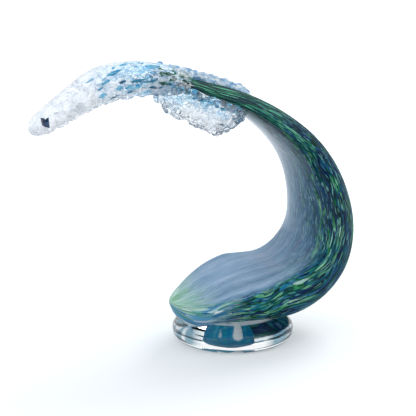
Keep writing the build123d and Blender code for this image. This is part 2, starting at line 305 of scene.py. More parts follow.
def feed(tree, made, **inputs):
    """Values set on a node's inputs, and sockets linked to them; in0 is its first input."""
    for key, value in inputs.items():
        at = int(key[2:]) if key.startswith("in") else key.replace("_", " ")
        if isinstance(value, bpy.types.NodeSocket):
            tree.links.new(value, made.inputs[at])
        else:
            made.inputs[at].default_value = value


def node(tree, kind, props=None, **inputs):
    """New node with its properties set and its inputs fed."""
    made = tree.nodes.new(kind)
    for key, value in (props or {}).items():
        setattr(made, key, value)
    feed(tree, made, **inputs)
    return made


def maths(tree, operation, first, second=0.5):
    """Result of maths with one or two numbers."""
    props = {"operation": operation}
    return node(tree, "ShaderNodeMath", props, in0=first, in1=second).outputs[0]


def times(tree, first, second):
    """Product of two numbers."""
    return maths(tree, "MULTIPLY", first, second)


def between(tree, value, low, high, first=0.0, last=1.0):
    """Value stretched from low and high to first and last, and kept between them."""
    ends = {"in1": low, "in2": high, "in3": first, "in4": last}
    return node(tree, "ShaderNodeMapRange", Value=value, **ends).outputs[0]


def vectors(tree, operation, first, second=(0.0, 0.0, 0.0)):
    """Result of vector maths: a number for a dot product or a length, or else a vector."""
    key = "Scale" if operation == "SCALE" else "in1"
    props = {"operation": operation}
    made = node(tree, "ShaderNodeVectorMath", props, in0=first, **{key: second})
    return made.outputs["Value" if operation in ("DOT_PRODUCT", "LENGTH") else "Vector"]


def own_place(tree):
    """Place of the shaded point on its object, in metres."""
    return node(tree, "ShaderNodeTexCoord").outputs["Object"]


def noise(tree, where, scale, detail, output=0):
    """Soft noise at a place: one number, or three in the output called Color."""
    made = node(tree, "ShaderNodeTexNoise", Vector=where, Scale=scale, Detail=detail)
    return made.outputs[output]


def mixed(tree, factor, first, second):
    """Blend of two colours."""
    props = {"data_type": "RGBA"}
    return node(tree, "ShaderNodeMix", props, in0=factor, in6=first, in7=second).outputs[2]


def ramp(tree, value, *stops):
    """Colour ramp through stops of (place, colour); three values are a colour on a screen."""
    made = node(tree, "ShaderNodeValToRGB", Fac=value)
    points = made.color_ramp.elements
    while len(points) < len(stops):
        points.new(1.0)
    for point, (at, colour) in zip(points, stops):
        point.position = at
        point.color = srgb(*colour) if len(colour) == 3 else colour
    return made.outputs["Color"]


# %% Group and finish helpers
def new_group(name, inputs, outputs):
    """Empty node group with float inputs and outputs; gives the tree and its two end nodes."""
    tree = bpy.data.node_groups.new(name, "ShaderNodeTree")
    for label, value in inputs.items():
        socket = tree.interface.new_socket(label, in_out="INPUT", socket_type="NodeSocketFloat")
        socket.default_value = value
    for label in outputs:
        tree.interface.new_socket(label, in_out="OUTPUT", socket_type="NodeSocketFloat")
    return tree, tree.nodes.new("NodeGroupInput"), tree.nodes.new("NodeGroupOutput")


def placed(tree, group, **values):
    """A shared group placed in a material with its own values."""
    return node(tree, "ShaderNodeGroup", {"node_tree": group}, **values)


def new_finish(name):
    """Material with only a Principled shader; gives the material, its tree and the shader."""
    material = bpy.data.materials.new(name)
    material.use_nodes = True
    tree = material.node_tree
    return material, tree, tree.nodes["Principled BSDF"]


def bumped(tree, shader, height, strength, distance=0.002):
    """Bump from a height on the shader's normal."""
    made = node(tree, "ShaderNodeBump", Strength=strength, Distance=distance, Height=height)
    feed(tree, shader, Normal=made.outputs[0])


def as_glass(tree, shader, bend, clear, tint):
    """Glass with a share that is clear, and a clear shader on shadow rays to let lamps in."""
    feed(tree, shader, IOR=bend, Transmission_Weight=clear)
    through = node(tree, "ShaderNodeBsdfTransparent", Color=tint).outputs[0]
    shadow = node(tree, "ShaderNodeLightPath").outputs["Is Shadow Ray"]
    both = node(tree, "ShaderNodeMixShader", in0=shadow, in1=shader.outputs[0], in2=through)
    feed(tree, tree.nodes["Material Output"], Surface=both.outputs[0])


# %% Shared groups: ripples and crackle
SEED_SCALE, SEED_HEIGHT = 420.0, 0.02
ripples, start, end = new_group("hand_worked_ripples", {"Scale": 30.0}, ("Height",))
where = own_place(ripples)
slow = noise(ripples, where, start.outputs["Scale"], 1.0)
seeds = node(ripples, "ShaderNodeTexVoronoi", Vector=where, Scale=SEED_SCALE)
dots = between(ripples, seeds.outputs["Distance"], 0.05, 0.1)
feed(ripples, end, Height=maths(ripples, "ADD", slow, times(ripples, dots, SEED_HEIGHT)))

crackle, start, end = new_group(
    "crackle", {"Scale": 180.0, "Warp": 0.004}, ("Height", "Crack", "Tone")
)
where = own_place(crackle)
stir = noise(crackle, where, 140.0, 2.0, "Color")
bent = vectors(crackle, "ADD", where, vectors(crackle, "SCALE", stir, start.outputs["Warp"]))
scale = start.outputs["Scale"]
cells = node(crackle, "ShaderNodeTexVoronoi", Vector=bent, Scale=scale)
props = {"feature": "DISTANCE_TO_EDGE"}
lines = node(crackle, "ShaderNodeTexVoronoi", props, Vector=bent, Scale=scale)
crack = between(crackle, lines.outputs["Distance"], 0.0, 0.12, 1.0, 0.0)
tone = node(crackle, "ShaderNodeSeparateColor", Color=cells.outputs["Color"]).outputs[0]
feed(crackle, end, Height=cells.outputs["Distance"], Crack=crack, Tone=tone)
print("groups:", [g.name for g in bpy.data.node_groups])

# %% [markdown]
# ## Finishes: clear, crackled and foaming glass
# The clear foot gets a tint of painted shade: it darkens at both sides and towards its top, where
# the
# dark wave shows through the disc, and it has upright cords in it. The bits are cracked all
# through:
# each Voronoi cell has a tone of its own, and the distance to its edge gives the cracks. Foam is
# white crackled glass that turns blue along one direction. Real cracks inside the mesh would cost
# far more faces for the same look.

# %% Clear glass
GLASS_BEND = 1.5
RIPPLE_SCALE, RIPPLE_STRENGTH, POLISH = 24.0, 0.1, 0.012
CORD_STRETCH = (60.0, 60.0, 14.0)
SHADE_TINT_TOP = 0.023  # metres; height where the painted shade of the tint is deepest
SIDE_LINE, SHADE_SIDE_FROM, SHADE_SIDE_FULL = (0.94, -0.34, 0.0), 0.03, 0.042  # metres from the middle, where the painted shade at the sides starts and is full
CLEAR, tree, shader = new_finish("clear_polished")
ripple = placed(tree, ripples, Scale=RIPPLE_SCALE)
bumped(tree, shader, ripple.outputs["Height"], RIPPLE_STRENGTH)
where = own_place(tree)
height = node(tree, "ShaderNodeSeparateXYZ", Vector=where).outputs["Z"]
# Painted shade: the tint deepens from a clear band at the bottom towards the top of the foot.
deep = ramp(
    tree, between(tree, height, 0.0, SHADE_TINT_TOP),
    (0.0, (250, 252, 253)), (0.16, (240, 246, 248)), (0.3, (70, 112, 132)),
    (0.75, (48, 92, 116)), (1.0, (40, 84, 110)),
)
# Painted shade: the tint is darker again at both sides of the disc.
aside = maths(tree, "ABSOLUTE", vectors(tree, "DOT_PRODUCT", where, SIDE_LINE))
deep = mixed(tree, between(tree, aside, SHADE_SIDE_FROM, SHADE_SIDE_FULL), srgb(250, 253, 254), deep)
cords = noise(tree, vectors(tree, "MULTIPLY", where, CORD_STRETCH), 1.0, 1.0)
colour = mixed(tree, between(tree, cords, 0.54, 0.6, 0.0, 0.6), deep, srgb(246, 249, 250))
feed(tree, shader, Base_Color=colour, Roughness=POLISH)
as_glass(tree, shader, GLASS_BEND, 1.0, srgb(240, 247, 250))
print("clear glass:", len(tree.nodes), "nodes")

# %% Crackled glass
CRACK_ROUGHER = 3.0


def crackled_finish(name, pale, deep, scale, depth, roughness, clear):
    """Glass that is cracked all through: cells of two tones with rougher edges."""
    material, tree, shader = new_finish(name)
    split = placed(tree, crackle, Scale=scale)
    bumped(tree, shader, split.outputs["Height"], depth)
    colour = mixed(tree, split.outputs["Tone"], pale, deep)
    rough = between(tree, split.outputs["Crack"], 0.0, 1.0, roughness, roughness * CRACK_ROUGHER)
    feed(tree, shader, Base_Color=colour, Roughness=rough)
    as_glass(tree, shader, GLASS_BEND, clear, pale)
    return material


AQUA, BLUE, TEAL, OLIVE, NAVY = [
    crackled_finish(*row)
    for row in (  # name, pale and deep colour, cells per metre, bump, roughness, clear share
        ("aqua_crackled", srgb(170, 226, 242), srgb(40, 156, 200), 420.0, 0.4, 0.05, 0.5),
        ("blue_bubbles", srgb(236, 244, 249), srgb(92, 158, 208), 230.0, 0.25, 0.04, 0.45),
        ("teal_bars", srgb(62, 140, 170), srgb(20, 86, 118), 240.0, 0.2, 0.06, 0.2),
        ("olive_lumps", srgb(60, 124, 104), srgb(2, 44, 40), 360.0, 0.5, 0.04, 0.15),
        ("navy_chip", srgb(40, 76, 112), srgb(14, 38, 70), 200.0, 0.2, 0.08, 0.1),
    )
]
print("crackled:", [m.name for m in (AQUA, BLUE, TEAL, OLIVE, NAVY)])

# %% Foam
FOAM_CELLS, CRUMB_CELLS, CRUMB_WARP, CRUMB_SHARE = 190.0, 480.0, 0.002, 0.45
FOAM_BUMP = 0.5


def foam_finish(name, toward_blue, low, high, clear, bend):
    """White crackled glass that turns blue in patches along a direction, from low to high."""
    material, tree, shader = new_finish(name)
    split = placed(tree, crackle, Scale=FOAM_CELLS)
    small = placed(tree, crackle, Scale=CRUMB_CELLS, Warp=CRUMB_WARP)
    tone = mixed(tree, CRUMB_SHARE, split.outputs["Tone"], small.outputs["Tone"])
    # The whitest cells of both ramps are white glass and partly painted glints.
    white = ramp(
        tree, tone,
        (0.1, (188, 196, 206)), (0.3, (222, 226, 232)),
        (0.55, (238, 240, 244)), (0.85, (252, 252, 253)),
    )
    blue = ramp(
        tree, tone,
        (0.1, (70, 148, 200)), (0.3, (140, 202, 234)),
        (0.6, (208, 234, 245)), (0.85, (250, 252, 253)),
    )
    where = own_place(tree)
    side = between(tree, vectors(tree, "DOT_PRODUCT", where, toward_blue), low, high)
    spots = between(tree, noise(tree, where, 75.0, 3.0), 0.4, 0.6)
    colour = mixed(tree, times(tree, side, spots), white, blue)
    patches = between(tree, noise(tree, where, 48.0, 2.0), 0.42, 0.58, 0.15, 0.95)
    depth = times(tree, patches, between(tree, side, 0.0, 1.0, 0.16, 1.0))
    dark = times(tree, depth, split.outputs["Crack"])
    colour = mixed(tree, dark, colour, srgb(44, 92, 124))
    rough = between(tree, split.outputs["Crack"], 0.0, 1.0, 0.05, 0.2)
    feed(tree, shader, Base_Color=colour, Roughness=rough)
    bumped(tree, shader, split.outputs["Height"], FOAM_BUMP)
    as_glass(tree, shader, bend, clear, srgb(240, 246, 250))
    return material


SPOUT_FOAM = foam_finish("spout_foam", (1.0, 0.0, 0.0), -0.155, -0.105, 0.64, 1.18)
CURTAIN_FOAM = foam_finish("curtain_foam", (0.33, 0.0, 1.0), 0.218, 0.238, 0.85, 1.1)
print("finishes:", [m.name for m in bpy.data.materials])

# %% [markdown]
# ## Finish: streaked colour
# Chips of green and blue glass are rolled onto the hot gather and drawn out with it, so each chip
# becomes a thin streak along the flow. Voronoi cells that are stretched along the flow map are such
# chips, and each cell has its own random tone, which picks its colour from a ramp. A painted
# picture could do it too, but cells stay sharp at any size. The back of the wave has greens and
# navy, the inner face has slate blues, and at the nose mint drops spill over blue surf.

# %% Drawn chips group
SWERVE = 16.0  # millimetres from side to side
chips, start, end = new_group(
    "drawn_chips", {"Length": 14.0, "Width": 2.4, "Shift": 0.0}, ("Tone", "Fibre")
)
flow = node(chips, "ShaderNodeUVMap", {"uv_map": "flow"}).outputs[0]
flat = vectors(chips, "SCALE", flow, FLOW_SPAN)
props = {"noise_dimensions": "2D"}
bend = node(chips, "ShaderNodeTexNoise", props, Vector=flat, Scale=0.02, Detail=1.0)
apart = node(chips, "ShaderNodeSeparateXYZ", Vector=flat)
swing = times(chips, maths(chips, "SUBTRACT", bend.outputs[0], 0.5), SWERVE)
along = maths(chips, "DIVIDE", apart.outputs["X"], start.outputs["Length"])
aside = maths(chips, "ADD", apart.outputs["Y"], swing)
across = maths(chips, "DIVIDE", aside, start.outputs["Width"])
shift = start.outputs["Shift"]
drawn = node(chips, "ShaderNodeCombineXYZ", X=along, Y=across, Z=shift).outputs[0]
cells = node(chips, "ShaderNodeTexVoronoi", Vector=drawn, Scale=1.0)
tone = node(chips, "ShaderNodeSeparateColor", Color=cells.outputs["Color"]).outputs[0]
feed(chips, end, Tone=tone, Fibre=noise(chips, drawn, 0.8, 2.0))
print("drawn chips:", len(chips.nodes), "nodes")


# %% Streaks along the flow
def chip_tone(tree, length, width, shift, output="Tone"):
    """Tone of drawn chips of a length and width in millimetres."""
    return placed(tree, chips, Length=length, Width=width, Shift=shift).outputs[output]


STREAKED, tree, shader = new_finish("streaked_colour")
flow = node(tree, "ShaderNodeUVMap", {"uv_map": "flow"}).outputs[0]
apart = node(tree, "ShaderNodeSeparateXYZ", Vector=flow)
run = times(tree, apart.outputs["X"], FLOW_SPAN)
around = times(tree, apart.outputs["Y"], FLOW_SPAN)
fine = chip_tone(tree, 10.0, 1.9, 1.7)
grain = chip_tone(tree, 10.0, 1.9, 1.7, "Fibre")
broad = chip_tone(tree, 12.0, 2.3, 7.7)
drops = chip_tone(tree, 13.0, 2.2, 23.9)
splinter = chip_tone(tree, 6.0, 1.25, 53.0)
patch = chip_tone(tree, 46.0, 16.0, 5.3, "Fibre")
thread = between(tree, chip_tone(tree, 36.0, 4.0, 12.1, "Fibre"), 0.3, 0.7)
haze = between(tree, chip_tone(tree, 70.0, 11.0, 12.1, "Fibre"), 0.3, 0.7)
print("streaks:", len(tree.nodes), "nodes")

# %% Colours of the back: greens and navy
# Painted light: the low band's ramp runs lighter than the back's, to make up for the light it
# misses as it faces down.
lift = between(tree, patch, 0.35, 0.65, -0.06, 0.18)
lightened_low_colour = ramp(
    tree, maths(tree, "ADD", times(tree, broad, 0.85), lift),
    (0.0, (4, 22, 48)), (0.18, (14, 52, 110)), (0.36, (36, 110, 156)),
    (0.5, (28, 122, 130)), (0.64, (8, 74, 56)), (0.78, (54, 148, 96)),
    (0.9, (124, 190, 152)), (1.0, (180, 216, 206)),
)
lift = between(tree, patch, 0.35, 0.65, -0.14, 0.2)
back_colour = ramp(
    tree, maths(tree, "ADD", times(tree, fine, 0.8), lift),
    (0.0, (3, 12, 24)), (0.18, (8, 26, 68)), (0.34, (16, 58, 106)),
    (0.48, (10, 74, 92)), (0.62, (4, 42, 34)), (0.76, (22, 106, 62)),
    (0.9, (88, 162, 104)), (1.0, (170, 206, 190)),
)
lip_colour = ramp(
    tree, chip_tone(tree, 22.0, 3.4, 41.0),
    (0.0, (2, 10, 20)), (0.35, (2, 30, 44)), (0.55, (3, 56, 54)),
    (0.75, (6, 80, 60)), (0.9, (24, 118, 84)), (1.0, (90, 172, 142)),
)
back_colour = mixed(tree, between(tree, run, HEEL - 10.0, KEEL + 40.0), lightened_low_colour, back_colour)
pale = between(tree, splinter, 0.82, 1.0, 0.0, 0.6)
back_colour = mixed(tree, pale, back_colour, srgb(120, 184, 168))
back_colour = mixed(tree, between(tree, run, SHOULDER, LIP_ROOT), back_colour, lip_colour)
dark = between(tree, splinter, 0.05, 0.55, 0.92, 0.0)
back_colour = mixed(tree, dark, back_colour, srgb(2, 12, 30))
print("back:", len(tree.nodes), "nodes")

# %% Colours of the inner face: slate blues
blade_colour = ramp(
    tree, haze,
    (0.0, (94, 132, 164)), (0.5, (126, 158, 191)), (1.0, (166, 186, 214)),
)
wall_colour = ramp(
    tree, thread,
    (0.0, (22, 76, 108)), (0.5, (40, 102, 136)), (1.0, (68, 130, 160)),
)
# Painted shade: the blade darkens towards its far edge.
painted_shade_far_edge = between(tree, around, 5.0, 75.0, 0.8, 0.0)
blade_colour = mixed(tree, painted_shade_far_edge, blade_colour, srgb(52, 100, 130))
on_wall = between(tree, run, HEEL - 34.0, UPRIGHT - 8.0)
face_colour = mixed(tree, on_wall, blade_colour, wall_colour)
near_side = between(tree, around, 45.0, 145.0, 0.0, 0.5)
flecks = times(tree, near_side, between(tree, run, HEEL - 30.0, UPRIGHT, 0.3, 1.0))
face_colour = mixed(tree, flecks, face_colour, back_colour)
lively = between(tree, run, HEEL - 30.0, UPRIGHT, 0.45, 1.0)
dark = times(tree, lively, between(tree, splinter, 0.0, 1.0, 0.2, 0.0))
face_colour = mixed(tree, dark, face_colour, srgb(30, 70, 110))
pale = times(tree, lively, between(tree, splinter, 0.6, 1.0, 0.0, 0.22))
face_colour = mixed(tree, pale, face_colour, srgb(190, 206, 224))
print("inner face:", len(tree.nodes), "nodes")

# %% Face against back
border = between(tree, run, HEEL, UPRIGHT, 5.0, 34.0)
ragged = times(tree, maths(tree, "SUBTRACT", fine, 0.5), border)
inward = maths(tree, "SUBTRACT", FLOW_ROUND / 2, maths(tree, "ADD", around, ragged))
face = maths(tree, "DIVIDE", inward, between(tree, run, HEEL, UPRIGHT, 8.0, 60.0))
colour = mixed(tree, between(tree, face, 0.0, 1.0), back_colour, face_colour)
print("face and back:", len(tree.nodes), "nodes")

# %% Nose, edge, end of the lip and polish
mint = ramp(
    tree, drops,
    (0.0, (108, 164, 142)), (0.3, (152, 192, 186)), (0.5, (88, 156, 78)),
    (0.65, (178, 210, 206)), (0.85, (76, 140, 108)), (1.0, (228, 238, 238)),
)
surf = ramp(
    tree, drops,
    (0.0, (24, 88, 146)), (0.25, (92, 156, 196)), (0.45, (64, 140, 112)),
    (0.6, (196, 224, 230)), (0.8, (52, 116, 170)), (1.0, (248, 250, 251)),
)
nose = maths(tree, "ADD", run, times(tree, fine, 16.0))
on_back = between(tree, face, 0.0, 1.0, 1.0, 0.0)
surf_share = times(tree, between(tree, nose, 36.0, 82.0, 1.0, 0.0), on_back)
colour = mixed(tree, surf_share, colour, surf)
spill = maths(tree, "ADD", inward, times(tree, maths(tree, "SUBTRACT", drops, 0.5), 24.0))
spilt = between(tree, spill, -16.0, -4.0)
mint_share = times(tree, between(tree, nose, 16.0, 54.0, 1.0, 0.0), spilt)
colour = mixed(tree, mint_share, colour, mint)
rim = maths(tree, "MINIMUM", around, maths(tree, "SUBTRACT", FLOW_ROUND, around))
low_run = between(tree, run, HEEL, KEEL, 1.0, 0.0)
edge = times(tree, between(tree, rim, 1.0, 8.0, 0.6, 0.0), low_run)
colour = mixed(tree, edge, colour, srgb(66, 138, 112))
broken = maths(tree, "ADD", run, times(tree, fine, 12.0))
faded = between(tree, broken, LIP + 4.0, LIP + 12.0, 0.0, 0.9)
colour = mixed(tree, faded, colour, srgb(236, 244, 248))
feed(tree, shader, Base_Color=colour)
bumped(tree, shader, grain, 0.15, 0.0006)
feed(tree, shader, Roughness=between(tree, grain, 0.2, 0.8, 0.4, 0.65), Specular_IOR_Level=0.0)
feed(tree, shader, Coat_Weight=between(tree, face, 0.0, 1.0, 0.12, 0.62), Coat_Roughness=0.06)
print("streaked finish:", len(tree.nodes), "nodes")

# %% [markdown]
# ## Finish: the root of the colour
# Inside the foot the coloured glass ends in a mottled teal root with a few white flares, which are
# painted light: the bright backdrop shining through the clear foot. A flare is a ball in space: its
# white depends on the distance to a centre, and a little noise stirs its edge. Painting the flares
# on a map would need a flat layout of the root, and a distance needs none.

# %% Root finish
PAINTED_FLARES = [  # centre and radius of each painted white flare in millimetres
    (-14.0, -14.0, 16.0, 6.2), (-2.0, -17.5, 13.0, 8.0),
    (16.0, 4.0, 13.0, 6.0), (-6.0, 16.0, 14.0, 7.0),
]
STIR = 0.008  # metres
FLARE_TALL, FLARE_CORE = (1.0, 1.0, 0.6), 0.8
ROOT, tree, shader = new_finish("deep_root_colour")
mottle = chip_tone(tree, 9.0, 7.0, 31.3, "Fibre")
colour = ramp(
    tree, between(tree, mottle, 0.3, 0.7),
    (0.0, (6, 86, 138)), (0.5, (20, 148, 196)),
    (0.8, (30, 158, 172)), (1.0, (104, 200, 230)),
)
where = own_place(tree)
stir = noise(tree, where, 110.0, 1.0, "Color")
bent = vectors(tree, "ADD", where, vectors(tree, "SCALE", stir, STIR))
# Each painted white flare is laid over the mottled teal.
for x, y, z, radius in PAINTED_FLARES:
    middle = [v * MM + STIR / 2 for v in (x, y, z)]
    off = vectors(tree, "MULTIPLY", vectors(tree, "SUBTRACT", bent, middle), FLARE_TALL)
    far = vectors(tree, "LENGTH", off)
    painted_flare = between(tree, far, radius * MM * FLARE_CORE, radius * MM, 1.0, 0.0)
    colour = mixed(tree, painted_flare, colour, srgb(252, 253, 254))
rough = between(tree, mottle, 0.2, 0.8, 0.4, 0.6)
feed(tree, shader, Base_Color=colour, Roughness=rough, Specular_IOR_Level=0.1)
print("root:", len(PAINTED_FLARES), "flares")

# %% [markdown]
# ## The wave
# The colour lies right under the skin, so the wave is one loft, and its polish is a coat in the
# finish. It could be a bent and tapered cube, but a loft through the same sections as the solid
# keeps the sweep exact and gives each quad a place along the flow. The rings lie closer together
# at both ends, where the glass is rounded.

# %% Wave
def evenly(start, end, step):
    """Values from start to end in equal steps of about one size."""
    count = max(1, round((end - start) / step))
    return [start + (end - start) * i / count for i in range(count + 1)]


NOSE_RINGS, LIP_RINGS, WAVE_STEP = 16, 8, 3.5
runs = [NEAR_TAPER * (i / NOSE_RINGS) ** 2 for i in range(1, NOSE_RINGS)]
runs += evenly(NEAR_TAPER, LIP, WAVE_STEP)
runs += [LIP_END - LIP_TUCK * (1 - i / LIP_RINGS) ** 2 for i in range(1, LIP_RINGS)]
rings = []
for run in runs:
    y, half, crown, depth = wave_sizes(run)
    ring = lens_ring(half, crown, depth, smooth(SOFTNESS, run))
    rings.append([place(run, u, v, y, smooth(ROLLS, run)) for u, v in ring])
wave_mesh = loft_mesh("streaked_wave", rings, runs)
show("streaked_wave", wave_mesh, STREAKED, ("wave_body",))

# %% [markdown]
# ## The root of the colour
# The clear foot was gathered over the end of the coloured glass, so a root of it reaches down into
# the foot, which bends its teal and white across the whole disc. A ball could stand for it, but a
# loft of lobed ovals spreads towards the wave and is rounded off just above the table.

# %% Root
ROOT_LOW, ROOT_HIGH, ROOT_LEVELS, ROOT_COUNT = 2.0, 34.0, 14, 72
ROOT_REACH, ROOT_BREADTH, ROOT_SHIFT = 17.0, 16.0, -3.0
ROOT_ROUND, ROOT_SPREAD, SPREAD_FROM, SPREAD_RISE = 5.0, 0.25, 14.0, 20.0
LOBES, LOBE_DEPTH, LOBE_TURN = 3, 0.1, 0.9
levels = [
    ROOT_LOW + (ROOT_HIGH - ROOT_LOW) * (i / ROOT_LEVELS) ** 2 for i in range(1, ROOT_LEVELS + 1)
]
turns = [2 * math.pi * i / ROOT_COUNT for i in range(ROOT_COUNT)]
rings = []
for z in levels:
    grown = rounding((z - ROOT_LOW) / ROOT_ROUND)
    grown += ROOT_SPREAD * rounding((z - SPREAD_FROM) / SPREAD_RISE) ** 2
    ring = []
    for t in turns:
        lobed = grown * (1 + LOBE_DEPTH * math.sin(LOBES * t + LOBE_TURN))
        x, y = ROOT_REACH * lobed * math.cos(t), ROOT_BREADTH * lobed * math.sin(t)
        ring.append(Vector((ROOT_SHIFT + x, y, z)) * MM)
    rings.append(ring)
show("streaked_root", loft_mesh("streaked_root", rings, levels), ROOT)

# %% [markdown]
# ## The foot
# The foot is a pressed disc of clear glass. A lathe of its half profile gives the ground edge, the
# bulged side and the fire-polished shoulder. A plain cylinder would look machined, so the lathe
# also takes in the shallow dents that the pressing tool left round the side.

# %% Foot
FOOT_FACE, BULGE_HEIGHT, GROUND_EDGE = 56.5, 11.0, 1.0
FOOT_SHOULDER, FOOT_CAP, FOOT_FLAT = (59.8, 17.5), (51.0, 21.6), 34.0
DENT, FOOT_SIDES, SHARP_ANGLE = 0.005, 144, 38.0


def arc_through(first, middle, last, count):
    """Points on the circle through three points of a profile."""
    (ax, ay), (bx, by), (cx, cy) = first, middle, last
    d = 2 * (ax * (by - cy) + bx * (cy - ay) + cx * (ay - by))
    a2, b2, c2 = ax * ax + ay * ay, bx * bx + by * by, cx * cx + cy * cy
    ux = (a2 * (by - cy) + b2 * (cy - ay) + c2 * (ay - by)) / d
    uy = (a2 * (cx - bx) + b2 * (ax - cx) + c2 * (bx - ax)) / d
    radius = math.hypot(ax - ux, ay - uy)
    begin, stop = math.atan2(ay - uy, ax - ux), math.atan2(cy - uy, cx - ux)
    turns = [begin + (stop - begin) * i / count for i in range(count + 1)]
    return [(ux + radius * math.cos(t), uy + radius * math.sin(t)) for t in turns]


def pressed(turn, height):
    """Share of the radius left where the tool pressed the side of the foot."""
    dents = math.sin(7 * turn + 0.8) + math.sin(13 * turn + height * 0.12)
    fade = math.sin(math.pi * min(max(height / FOOT_HEIGHT, 0.0), 1.0))
    return 1 - DENT * (1 + dents / 2) * fade


def lathe_mesh(name, profile, count):
    """Closed mesh of a profile of (radius, height) turned about Z, with pressed sides."""
    turns = [2 * math.pi * i / count for i in range(count)]
    rings = []
    for r, z in profile:
        ring = []
        for t in turns:
            reach = r * pressed(t, z)
            ring.append(Vector((reach * math.cos(t), reach * math.sin(t), z)) * MM)
        rings.append(ring)
    return loft_mesh(name, rings, [z for _, z in profile])


profile = [(FOOT_FACE - GROUND_EDGE, 0.0)]
profile += arc_through((FOOT_FACE, 0.0), (FOOT_RADIUS, BULGE_HEIGHT), FOOT_SHOULDER, 16)[1:]
profile += arc_through(FOOT_SHOULDER, FOOT_CAP, (FOOT_FLAT, FOOT_HEIGHT), 10)[1:]
foot_mesh = lathe_mesh("pressed_foot", profile, FOOT_SIDES)
foot_mesh.set_sharp_from_angle(angle=math.radians(SHARP_ANGLE))
show("pressed_foot", foot_mesh, CLEAR, ("clear_foot",))

# %% [markdown]
# ## The crest: froth of clear glass
# The crest is clear glass with crushed glass rolled into it, so its skin is all small bumps. Lofts
# give the three masses: the spout, the curtain under the lip and the ridge on the far edge. Balls
# are strewn over them and a voxel remesh melts all of it into one skin, as the flame does.

# %% Froth helpers
rng = random.Random(11)


def froth_mesh(name, base, balls, voxel, melt):
    """Base mesh with balls of (centre, radius) melted on."""
    bm = bmesh.new()
    bm.from_mesh(base)
    for centre, radius in balls:
        bmesh.ops.create_icosphere(
            bm, subdivisions=2, radius=radius * MM, matrix=Matrix.Translation(centre)
        )

    def fuse(obj):
        remesh = obj.modifiers.new("fuse", "REMESH")
        remesh.mode = "VOXEL"
        remesh.voxel_size = voxel * MM
        relax = obj.modifiers.new("melt", "SMOOTH")
        relax.iterations = melt

    made = with_modifiers(mesh_from(bm, name), fuse)
    made.name = name
    made.shade_smooth()
    return made


def strewn_balls(count, place_at, runs, shares, sizes, sink, far_size=1.0):
    """Balls at random places, sunk by a share of their size; past the neck their size changes."""
    made = []
    for _ in range(count):
        run = rng.uniform(*runs)
        size = rng.uniform(*sizes) * (1.0 if run < NECK else far_size)
        made.append((place_at(run, rng.uniform(*shares), -size * sink), size))
    return made


# %% The spout
SPOUT_LAP, TIP_ROUND = 16.0, 14.0
SPOUT_START = LIP - SPOUT_LAP
SPOUT_WIDTHS = [(SPOUT_START, 80.0), (CREST, 76.0), (NECK, 60.0), (TIP, 30.0)]
SPOUT_TOPS = [(SPOUT_START, 10.5), (CREST, 15.0), (NECK, 20.0), (TIP, 10.0)]
SPOUT_UNDERS = [(SPOUT_START, 8.0), (CREST, 19.0), (NECK, 14.0), (TIP, 9.0)]
BLUNT = 0.08  # share that a rounded end starts with
RING_STEP, FROTH_VOXEL, FROTH_MELT = 2.5, 1.1, 2


def spout_sizes(run):
    """Half width, depth under and height over the edge line of the spout at a run."""
    end = rounding((TIP - run) / TIP_ROUND) * rounding((run - SPOUT_START) / SPOUT_LAP + BLUNT)
    half = smooth(SPOUT_WIDTHS, run) / 2
    return half * end, smooth(SPOUT_UNDERS, run) * end, smooth(SPOUT_TOPS, run) * end


def over_spout(run, share, lift):
    """Point off the top of the spout."""
    half, _, high = spout_sizes(run)
    return place(run, *on_arc(half, -high, share, lift))


def under_spout(run, share, lift):
    """Point off the underside of the spout."""
    half, low, _ = spout_sizes(run)
    return place(run, *on_arc(half, low, share, lift))


runs = [SPOUT_START + SPOUT_LAP * (i / 6) ** 2 for i in range(7)]
runs += evenly(LIP, TIP - TIP_ROUND, RING_STEP)[1:]
runs += [TIP - TIP_ROUND * (1 - i / 7) ** 2 for i in range(1, 7)]
rings = [[place(run, u, v) for u, v in lens_ring(*spout_sizes(run), 0.6)] for run in runs]
balls = strewn_balls(
    230, under_spout, (LIP, TIP - TIP_ROUND), (0.1, 0.98), sizes=(1.6, 4.2), sink=0.3, far_size=0.75
)
balls += strewn_balls(70, over_spout, (LIP, NECK + 30), (0.72, 0.98), sizes=(1.4, 2.8), sink=0.5)
balls += strewn_balls(
    70, over_spout, (SPOUT_START + 3, LIP + 12), (0.3, 1.0), sizes=(1.4, 3.0), sink=0.5
)
spout = loft_mesh("spout", rings, runs)
spout_mesh = froth_mesh("spout_glass", spout, balls, FROTH_VOXEL, FROTH_MELT)
show("spout_glass", spout_mesh, SPOUT_FOAM, ("crest_spout", "spout_frit_clear"))

# %% The curtain
CURTAIN_TOP, CURTAIN_STEEP, CURTAIN_END = LIP_ROOT - 36.0, 24.0, 26.0
CURTAIN_LOW, CURTAIN_FAR = CURTAIN_TOP + CURTAIN_STEEP, LIP + CURTAIN_END
CURTAIN_OFFSET, CURTAIN_HALF, HEM_HALF, HEM_BULGE = -14.0, 32.0, 23.0, 11.0
CURTAIN_DROPS = [(CURTAIN_LOW, 37.0), (LIP, 31.0), (CURTAIN_FAR, 19.0)]
SIDE_STEPS = 10


def curtain_sizes(run):
    """Half width under the lip, half width at the hem, drop and hem bulge of the curtain."""
    rise = rounding((run - CURTAIN_TOP) / CURTAIN_STEEP, 0.8)
    fade = rounding((CURTAIN_FAR - run) / CURTAIN_END)
    narrow = (0.4 + 0.6 * rise) * (0.5 + 0.5 * fade)
    drop = smooth(CURTAIN_DROPS, run) * rise
    return CURTAIN_HALF * narrow, HEM_HALF * narrow, drop, HEM_BULGE * rise


